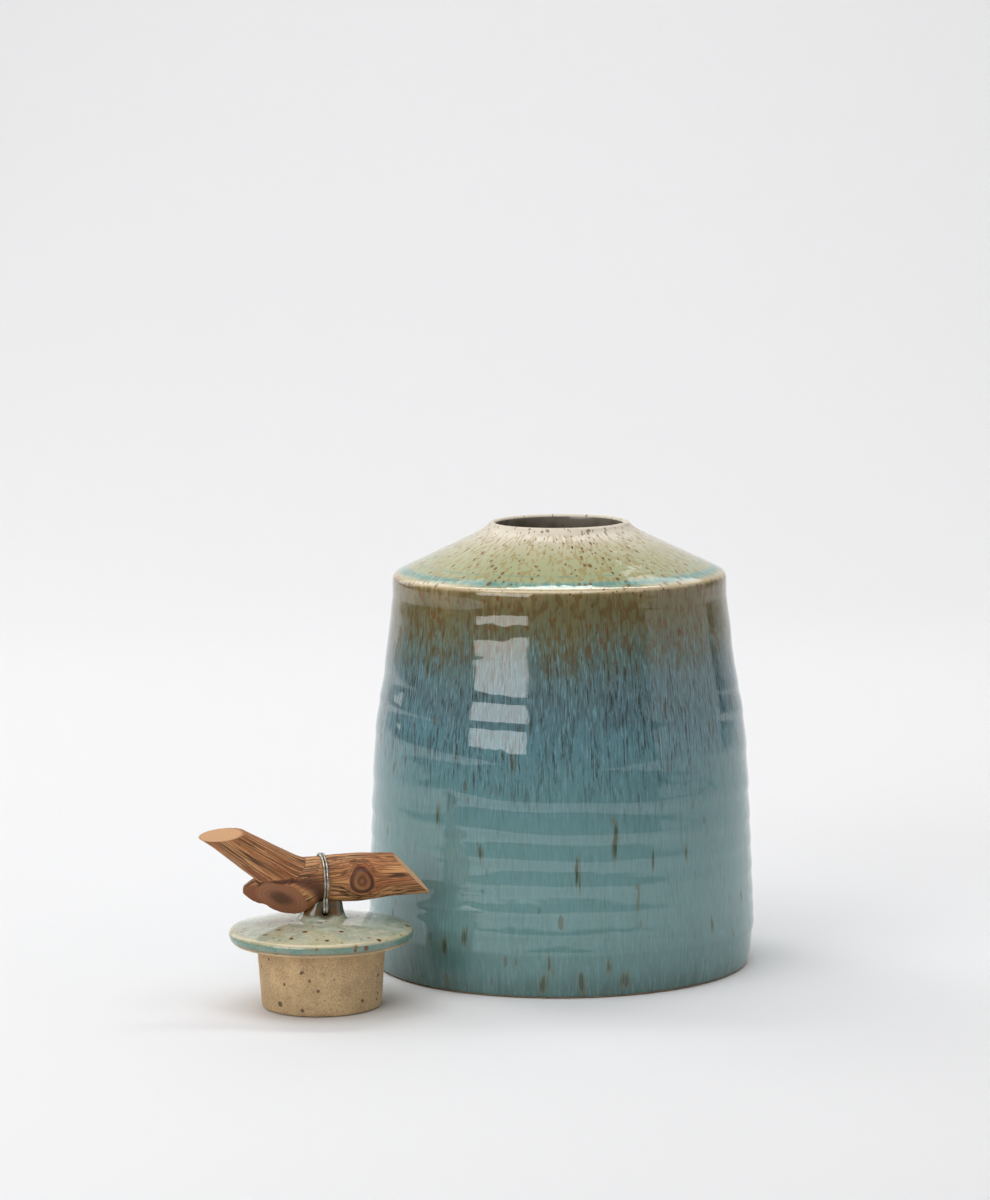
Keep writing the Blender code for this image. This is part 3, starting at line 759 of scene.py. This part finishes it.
def mark_table():
    """Height, phase and depth of the fingers' spiral, all the way up the wall."""
    heights = np.linspace(0.0, SHOULDER_HEIGHT, 700)
    turns = np.interp(heights, MARK_HEIGHTS, np.arange(len(MARK_HEIGHTS)))
    reach = np.exp(-0.5 * (np.arange(-MARK_EASE, MARK_EASE + 1) * 3.0 / MARK_EASE) ** 2)
    padded = np.pad(turns, MARK_EASE, mode="edge")
    turns = np.convolve(padded, reach / reach.sum(), "valid")
    climb = np.maximum(np.gradient(turns, heights), 20.0)
    tilt = np.interp(heights, *zip(*MARK_TILTS))
    return heights, turns, tilt / (2 * math.pi * climb)


def throwing_marks(angles, height):
    """How far the fingers' spiral pushed the wall out, at each angle."""
    heights, turns, depths = MARKS
    depth = np.interp(height, heights, depths)
    wander = 0.35 * np.sin(angles * 2 + 1.1) + 0.25 * np.sin(angles * 3 + height * 60)
    wander += 0.16 * np.sin(angles * 9 + height * 140)
    phase = 2 * math.pi * np.interp(height, heights, turns) + angles - MARK_START + wander
    marks = np.sin(phase) + 0.28 * np.sin(2 * phase + 0.5 * np.sin(angles)) + 0.10 * np.sin(3 * phase)
    sway = 0.00016 * np.sin(angles * 2 + 0.6 + height * 9)
    sway = sway * np.interp(height, [0.004, 0.02, 0.15, 0.169], [0, 1, 1, 0])
    return depth * marks + sway + np.interp(height, *COLLAR)


MARKS = mark_table()


def make_jar():
    outline = cad_outline("jar", (0.0, 0.0), (0.080, 0.0))
    outline = softened(np.concatenate([outline, [(0.0, outline[-1, 1])]]), 0.00035)
    outline = rounded(outline, SHOULDER_HEIGHT, 0.0016, 0.058, 0.0040)
    outline = rounded(outline, LIP_FOOT_HEIGHT, 0.0018, 0.0292, 0.0026)
    edge = np.argmax(outline[:, 1])

    def longest(point):
        outside = point[0] > SHOULDER_RADIUS - 0.002
        return 0.0011 if outside and point[1] > 0.001 else 0.0040

    outside = thinned(outline[:edge + 1], math.radians(5), longest)
    inside = thinned(outline[edge:], math.radians(8), lambda point: 0.0050)
    line = np.concatenate([outside, inside[1:]])
    points, faces = turned_points(line, JAR_SIDES, throwing_marks_outside(len(outside), line))
    jar = add_piece("jar_body", points, faces, [jar_glaze(), liner_glaze(), bare_clay()])

    # Bare clay under the foot, liner from just inside the lip, and the glaze between.
    slots = [2] * JAR_SIDES
    for ring in range(1, len(line) - 1):
        start, end = line[ring], line[ring + 1]
        under = max(start[1], end[1]) < 0.0006 and ring < len(outside)
        inner = ring >= len(outside) - 1 and end[1] < JAR_BOX[1][2] - 0.0012
        slots += [2 if under else 1 if inner else 0] * JAR_SIDES
    jar.data.polygons.foreach_set("material_index", slots)
    depths = iron_runs(points_of(jar.data))
    jar.data.attributes.new("iron_run", "FLOAT", "POINT").data.foreach_set("value", depths)
    jar.data.update()
    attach(jar, "jar")
    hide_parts("jar")


def iron_runs(points):
    """How deep in a run of iron each point of the wall lies, 0 to 1."""
    angles = np.degrees(np.arctan2(points[:, 0], -points[:, 1]))
    heights = points[:, 2] * 1000
    depth = np.zeros(len(points))
    for turn, rise in IRON_RUN_TURNS:
        for angle, low, high, width in IRON_RUNS:
            low, high = low + rise * (low > IRON_RUN_FOOT), high + rise * (low > IRON_RUN_FOOT)
            away = (angles - angle - turn + 180) % 360 - 180 + 0.25 * np.sin(heights * 0.30 + angle)
            across = away * math.radians(1) * IRON_RUN_RADIUS / width
            along = (heights - (low + high) / 2) / ((high - low) / 2 + 2.0)
            depth = np.maximum(depth, np.exp(-across ** 2 - along ** 2))
    return depth


def throwing_marks_outside(count, line):
    """Marks for the outside of the wall only."""
    outside = {tuple(point) for point in line[:count]}

    def shift(angles, radius, height):
        if (radius, height) in outside:
            return throwing_marks(angles, height)
        return 0.0
    return shift


# ---------------------------------------------------------------- the lid


def lug_spread(height):
    """How far the lug's foot flares out at a height."""
    top = TWIG_HEIGHT - TWIG_RADIUS / 2
    return LUG_FOOT_SPREAD * (max(0.0, top - height) / (top - DOME_HEIGHT)) ** 2.2


def lug_points(start):
    """Clay neck under the twig, hollowed on top to seat it and flared on to the dome."""
    sides = 96
    heights = np.concatenate([
        [PLUG_DEPTH + 0.0031], np.linspace(DOME_HEIGHT - 0.0008, DOME_HEIGHT + 0.0010, 6),
        np.linspace(DOME_HEIGHT + 0.0015, TWIG_HEIGHT - TWIG_RADIUS / 2, 16)])
    points = []
    turn = Matrix.Rotation(TWIG_TURN, 3, "Z")
    for height in heights:
        lean = LUG_LEAN * (height - DOME_HEIGHT) / LUG_RISE
        half_width = LUG_HALF_WIDTH + lug_spread(height)
        half_depth = LUG_HALF_DEPTH + 0.7 * lug_spread(height)
        for step in range(sides):
            angle = 2 * math.pi * step / sides
            cosine = math.copysign(abs(math.cos(angle)) ** (2 / LUG_SQUARENESS), math.cos(angle))
            sine = math.copysign(abs(math.sin(angle)) ** (2 / LUG_SQUARENESS), math.sin(angle))
            y = half_depth * sine
            clear = TWIG_RADIUS + SEAT_GAP
            seat = TWIG_HEIGHT - math.sqrt(max(0.0, clear ** 2 - y ** 2))
            x = lean + half_width * cosine
            points.append(turn @ Vector((x, y, min(height, seat))) + Vector((TIE_OFFSET, 0.0, 0.0)))
    faces = ring_faces(start, len(heights), sides)
    faces.append(tuple(start + step for step in reversed(range(sides))))
    middle = start + len(points)
    points.append(turn @ Vector((LUG_LEAN, 0.0, SADDLE_HEIGHT)) + Vector((TIE_OFFSET, 0.0, 0.0)))
    top = start + (len(heights) - 1) * sides
    for step in range(sides):
        faces.append((middle, top + step, top + (step + 1) % sides))
    return [tuple(point) for point in points], faces


def make_lid():
    outline = cad_outline("lid", LID_PLACE, (0.015, PLUG_DEPTH))
    outline = outline[:np.argmax(outline[:, 1] > DOME_HEIGHT - 0.0006)]
    outline = np.concatenate([outline, [(0.006, DOME_HEIGHT - 0.00008), (0.0, DOME_HEIGHT)]])
    outline = softened(outline, 0.00035)
    outline = thinned(outline, math.radians(6), lambda point: 0.0015)

    def sway(angles, radius, height):
        return 0.00012 * np.sin(angles * 2 + 0.4) * (radius > 0.03)

    points, faces = turned_points(outline, LID_SIDES, sway)
    lug, lug_faces = lug_points(len(points))
    lid = add_piece("lid_body", points + lug, faces + lug_faces, [lid_glaze()], LID_PLACE)
    apply_modifier(lid, "REMESH", mode="VOXEL", voxel_size=LID_VOXEL)
    points = points_of(lid.data)
    eased = smoothed_points(lid.data, points, 6)
    reach = np.hypot(points[:, 0] - TIE_OFFSET, points[:, 1])
    near_lug = np.clip((0.0150 - reach) / 0.0040, 0.0, 1.0) * (points[:, 2] > PLUG_DEPTH + 0.004)
    softest = smoothed_points(lid.data, eased, 18)
    set_points(lid.data, eased + (softest - eased) * near_lug[:, None])
    drill_lid(lid)
    lid.data.shade_smooth()
    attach(lid, "lid")
    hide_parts("lid")


def smoothed_points(mesh, points, rounds):
    """Points evened out with their neighbours, without shrinking."""
    edges = np.empty(len(mesh.edges) * 2, dtype=int)
    mesh.edges.foreach_get("vertices", edges)
    edges = edges.reshape(-1, 2)
    count = np.bincount(edges.ravel(), minlength=len(points))[:, None]
    moved = points.copy()
    for step in range(rounds):
        share = 0.6 if step % 2 == 0 else -0.61
        total = np.zeros_like(moved)
        for axis in range(3):
            total[:, axis] = (np.bincount(edges[:, 0], moved[edges[:, 1], axis], len(points))
                              + np.bincount(edges[:, 1], moved[edges[:, 0], axis], len(points)))
        moved = moved + share * (total / count - moved)
    return moved


def drill_lid(lid):
    """The wire's hole through the lug."""
    sides, half_length = 24, 0.014
    angles = np.arange(sides) * 2 * math.pi / sides
    points = [(WIRE_HOLE_RADIUS * math.cos(angle), y, WIRE_HOLE_RADIUS * math.sin(angle))
              for y in (-half_length, half_length) for angle in angles]
    faces = []
    for step in range(sides):
        after = (step + 1) % sides
        faces.append((step, step + sides, after + sides, after))
    faces.append(tuple(range(sides)))
    faces.append(tuple(reversed(range(sides, 2 * sides))))
    drill = add_piece("drill", points, faces, [], HANDLE_PLACE, TWIG_TURN)
    drill.location.z = WIRE_HOLE_HEIGHT
    bpy.context.view_layer.update()
    apply_modifier(lid, "BOOLEAN", object=drill, operation="DIFFERENCE", solver="EXACT")
    bpy.data.objects.remove(drill, do_unlink=True)


# ---------------------------------------------------------------- the twig


def limb_reach(rows, points):
    """Nearest place on a limb: depth outside its skin, distance along, and angle round it."""
    along, across, other = frames_along(rows[:, :3])
    steps = np.linalg.norm(np.diff(rows[:, :3], axis=0), axis=1)
    run = np.concatenate([[0.0], np.cumsum(steps)])
    depth = np.full(len(points), 1.0)
    place = np.zeros(len(points))
    angle = np.zeros(len(points))
    for index in range(len(rows)):
        offset = points - rows[index, :3]
        slide = offset @ along[index]
        flat = offset - slide[:, None] * along[index]
        span = steps[min(index, len(steps) - 1)]
        distance = np.hypot(np.linalg.norm(flat, axis=1), np.maximum(0.0, np.abs(slide) - 0.6 * span) * 2)
        outside = distance - rows[index, 3]
        better = outside < depth
        depth[better] = outside[better]
        place[better] = run[index] + slide[better]
        angle[better] = np.arctan2(offset[better] @ other[index], offset[better] @ across[index])
    return depth, place, angle


def ridged(values):
    """1 where noise crosses zero, less away from there."""
    return 1.0 - np.abs(values)


def field(points, scale, seed):
    """Smooth noise at points, about -1 to 1."""
    scaled = points * np.asarray(scale) + seed
    return np.array([noise.noise(Vector(point)) for point in scaled])


def make_twig():
    limbs = [smooth_stations(stations, TWIG_STEPS) for stations in (TRUNK, ARM, STUB, BURL)]
    knot_front = -TWIG_RADIUS - 0.0006
    knot = np.array([
        (KNOT_REACH, 0.0, 0.0, KNOT_RADIUS),
        (KNOT_REACH, knot_front * 0.5, 0.0, KNOT_RADIUS),
        (KNOT_REACH, knot_front + 0.0005, 0.0, KNOT_RADIUS * 0.98),
        (KNOT_REACH, knot_front, 0.0, KNOT_RADIUS * 0.8),
    ])
    points, faces = [], []
    for rows in limbs + [knot]:
        limb_points, limb_faces = tube_points(rows, TWIG_SIDES, len(points))
        points += limb_points
        faces += limb_faces
    materials = [
        twig_wood(),
        sawn_wood("sawn_arm", (-0.0429, 0.0, 0.0212), (-0.83, 0.0, 0.557), 0.0063,
                  tint(206, 160, 116), tint(170, 118, 76), 0.0),
        sawn_wood("sawn_stub", (-0.0179, -0.0032, -0.0065), (-0.91, -0.18, -0.37), 0.0095,
                  tint(158, 106, 76), tint(112, 74, 54), 0.75),
        sawn_wood("sawn_end", (0.0385, 0.0, 0.0006), (1.0, 0.0, 0.01), 0.0090,
                  tint(232, 186, 140), tint(196, 142, 96), 0.0),
    ]
    twig = add_piece("twig", points, faces, materials[:1], HANDLE_PLACE, TWIG_TURN)
    apply_modifier(twig, "REMESH", mode="VOXEL", voxel_size=TWIG_VOXEL)
    mesh = twig.data
    points = smoothed_points(mesh, points_of(mesh), 10)
    set_points(mesh, points)

    # Which limb each point belongs to, and its place in that limb's grain.
    depths, places, turns = zip(*[limb_reach(rows, points) for rows in limbs])
    depths = np.stack(depths)
    order = np.sort(depths, axis=0)
    owner = np.argmin(depths, axis=0)
    along = np.choose(owner, places)
    angle = np.choose(owner, turns)
    on_front = (points[:, 1] < -0.003) & (owner == 0)
    knot_x = points[:, 0] - KNOT_REACH
    knot_z = points[:, 2]
    turn = np.arctan2(knot_z, knot_x)
    knot_far = np.hypot(knot_x, knot_z) * (1 + 0.07 * np.sin(2 * turn + 1.0) + 0.05 * np.sin(3 * turn))
    bend = np.clip(KNOT_SWIRL ** 2 / np.maximum(knot_far, KNOT_SWIRL) ** 2, 0.0, 1.0)
    bend = np.where(on_front, bend, 0.0)
    across = np.stack([np.cos(angle), np.sin(angle)], axis=1) * TWIG_RADIUS
    across[:, 0] *= 1.0 - 0.85 * bend * (np.abs(knot_z) < 0.009)
    grain = np.stack([along + owner * 0.05, across[:, 0], across[:, 1]], axis=1)

    # Fissures follow the grain, and shallow ribs lie between them.
    bold = ridged(field(grain, (18.0, 600.0, 600.0), 3.1)) ** 12
    fine = ridged(field(grain, (60.0, 1050.0, 1050.0), 9.7)) ** 8
    patchy = np.clip(field(grain, (60.0, 160.0, 160.0), 5.3) * 1.6 + 0.55, 0.0, 1.0)
    swell = field(points, (130.0, 130.0, 130.0), 1.7)
    fissure = np.clip(bold * patchy + 0.45 * fine, 0.0, 1.0)
    beside_stub = (owner >= 2) | (np.argsort(depths, axis=0)[1] >= 2)
    # Painted shade: the crease where the stub and its burl meet the other limbs is darkened, as well as
    # pressed in below.
    crease = np.exp(-((order[1] - order[0]) / 0.0011) ** 2) * beside_stub
    in_knot = on_front & (knot_far < KNOT_SWIRL)
    knot_wave = np.cos(knot_far / KNOT_RADIUS * 10.5)
    fissure = np.where(in_knot, np.clip(-knot_wave, 0.0, 1.0) * 0.5, fissure)
    rim = np.exp(-((knot_far - KNOT_RADIUS) / 0.0007) ** 2) * on_front
    # One mark holds the knot's own dark rim and core, and the crease's painted shade.
    shadow = np.clip(crease * 0.8 + rim * 0.9 + in_knot * (0.56 - 0.09 * knot_wave), 0.0, 1.0)
    normals = np.empty(len(mesh.vertices) * 3)
    mesh.vertices.foreach_get("normal", normals)
    normals = normals.reshape(-1, 3)
    push = 0.00016 * swell - 0.00032 * fissure - 0.00045 * crease
    push += np.where(in_knot, 0.00012 * knot_wave, 0.0) - 0.00030 * rim
    set_points(mesh, points + normals * push[:, None])
    for name, values in {"fissure": fissure, "shadow": shadow}.items():
        mesh.attributes.new(name, "FLOAT", "POINT").data.foreach_set("value", values)
    mesh.attributes.new("grain", "FLOAT_VECTOR", "POINT").data.foreach_set("vector", grain.ravel())

    model = bmesh.new()
    model.from_mesh(mesh)
    for slot, (place, facing) in enumerate(SAW_CUTS, 1):
        saw(model, Vector(place), Vector(facing).normalized(), slot)
    model.to_mesh(mesh)
    model.free()
    for material in materials[1:]:
        mesh.materials.append(material)
    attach(twig, "lid")
    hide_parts("twig_handle")


def saw(model, place, facing, slot):
    """Takes off what lies beyond a plane near place and closes the cut with flat faces.

    Lists, not sets, go to the cut, so that its faces come in the same order each run.
    """
    near = [vert for vert in model.verts if (vert.co - place).length < SAW_REACH]
    chosen = set(near)
    faces = [face for face in model.faces if all(corner in chosen for corner in face.verts)]
    edges = list(dict.fromkeys(edge for face in faces for edge in face.edges))
    cut = bmesh.ops.bisect_plane(
        model, geom=near + edges + faces, plane_co=place, plane_no=facing,
        clear_outer=True, dist=1e-6)
    rim = [item for item in cut["geom_cut"] if isinstance(item, bmesh.types.BMEdge)]
    rim = [edge for edge in rim if edge.is_valid and len(edge.link_faces) == 1]
    filled = bmesh.ops.triangle_fill(model, edges=rim, use_beauty=True, normal=facing)
    for item in filled["geom"]:
        if isinstance(item, bmesh.types.BMFace):
            item.material_index = slot
            item.smooth = False
    bmesh.ops.split_edges(model, edges=[edge for edge in rim if edge.is_valid])


# ---------------------------------------------------------------- the wire


def wire_route():
    """Two turns through the lug's hole and round the twig, and the twisted ends behind."""
    loop = TWIG_RADIUS + SEAT_GAP + WIRE_RADIUS
    hole = WIRE_HOLE_HEIGHT - TWIG_HEIGHT
    face = LUG_HALF_DEPTH + 0.7 * lug_spread(WIRE_HOLE_HEIGHT) + SEAT_GAP + WIRE_RADIUS
    spread = TWIG_RADIUS * 0.91
    half = WIRE_PITCH / 2

    def tail(phase):
        points = []
        for step in range(21):
            share = step / 20
            angle = phase + 2 * math.pi * 2.5 * share
            points.append((
                0.0015 + 0.0070 * share, spread + half * math.cos(angle), -spread + half * math.sin(angle)))
        return points

    def turn(shift_in, shift_out, lean):
        points = [(shift_in, face, hole + 0.0012), (shift_in, face - 0.0012, hole), (shift_in, 0.0, hole),
                  (shift_in, -face + 0.0012, hole), (shift_in, -face, hole + 0.0012)]
        for step in range(25):
            share = step / 24
            angle = math.radians(-42 + 264 * share)
            shift = shift_in + (shift_out - shift_in) * max(0.0, 2 * share - 1)
            shift += lean * math.sin(math.pi * share)
            points.append((shift, -loop * math.cos(angle), loop * math.sin(angle)))
        return points

    route = list(reversed(tail(-math.pi / 2)))
    route += turn(-half, half, 0.0) + turn(half, 3 * half, 0.00016)
    route += tail(math.pi / 2)
    return smooth_stations(route, 4)


def make_wire():
    path = resampled(wire_route(), 0.00045)
    rows = np.concatenate([path, np.full((len(path), 1), WIRE_RADIUS)], axis=1)
    points, faces = tube_points(rows, 14)
    wire = add_piece("wire", points, faces, [wire_steel()], HANDLE_PLACE, TWIG_TURN)
    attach(wire, "lid")
    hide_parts("binding_wire")


# ---------------------------------------------------------------- the studio


def make_sweep():
    """Pale paper that lies under the pieces and rises behind them."""
    line = [(PAPER_FRONT, 0.0), (PAPER_TURN, 0.0)]
    for step in range(1, 13):
        angle = step * math.pi / 24
        line.append((PAPER_TURN + PAPER_CURVE * math.sin(angle), PAPER_CURVE - PAPER_CURVE * math.cos(angle)))
    line.append((PAPER_TURN + PAPER_CURVE, PAPER_TOP))
    points, faces = [], []
    for y, z in line:
        points += [(-PAPER_HALF_WIDTH, y, z - PAPER_DROP), (PAPER_HALF_WIDTH, y, z - PAPER_DROP)]
    for step in range(len(line) - 1):
        faces.append((2 * step, 2 * step + 1, 2 * step + 3, 2 * step + 2))
    add_piece("paper_sweep", points, faces, [studio_paper()])


def add_panel(name, place, target, width, height, radiance):
    """Soft light of even brightness that faces target."""
    light = bpy.data.lights.new(name, "AREA")
    light.shape = "RECTANGLE"
    light.size = width
    light.size_y = height
    light.energy = radiance * math.pi * width * height
    panel = bpy.data.objects.new(name, light)
    panel.location = place
    panel.rotation_euler = (Vector(target) - Vector(place)).to_track_quat("-Z", "Y").to_euler()
    bpy.context.scene.collection.objects.link(panel)


def light_studio():
    middle = (0.0, 0.0, 0.10)
    add_panel("overhead_bank", (-0.10, -0.05, 1.70), (-0.10, -0.05, 0.0), 2.40, 1.30, 0.36)
    add_panel("overhead_strip", (-0.18, -0.35, 1.10), (-0.14, -0.20, 0.0), 1.15, 0.55, 2.5)
    add_panel("window", (-0.96, -1.15, 0.62), middle, 1.05, 0.80, 3.3)
    add_panel("right_wall", (1.35, -0.05, 0.74), middle, 1.80, 1.60, 0.50)
    add_panel("left_wall", (-1.20, 1.05, 0.90), middle, 0.90, 1.60, 1.1)
    add_panel("left_back", (-0.95, 1.20, 1.50), middle, 0.80, 0.80, 1.2)
    add_panel("right_back", (0.95, 1.20, 1.50), middle, 0.80, 0.80, 1.6)
    add_panel("backdrop_wash", (0.0, 0.70, 1.90), (0.0, 1.75, 0.30), 2.40, 0.50, 5.9)
    world = bpy.data.worlds.new("room")
    world.use_nodes = True
    world.node_tree.nodes["Background"].inputs[0].default_value = (0.12, 0.12, 0.125, 1.0)
    bpy.context.scene.world = world
    bpy.context.scene.view_settings.view_transform = "Standard"


def add_camera():
    camera = bpy.data.objects.new("camera", bpy.data.cameras.new("camera"))
    camera.data.lens = CAMERA_LENS
    camera.data.sensor_width = 36.0
    camera.matrix_world = (
        Matrix.Translation(CAMERA_PLACE)
        @ Matrix.Rotation(math.radians(90) - CAMERA_DIP, 4, "X")
        @ Matrix.Rotation(-CAMERA_ROLL, 4, "Z"))
    bpy.context.scene.collection.objects.link(camera)
    bpy.context.scene.camera = camera


add_camera()
make_sweep()
light_studio()
make_jar()
make_lid()
make_twig()
make_wire()

bpy.context.view_layer.update()
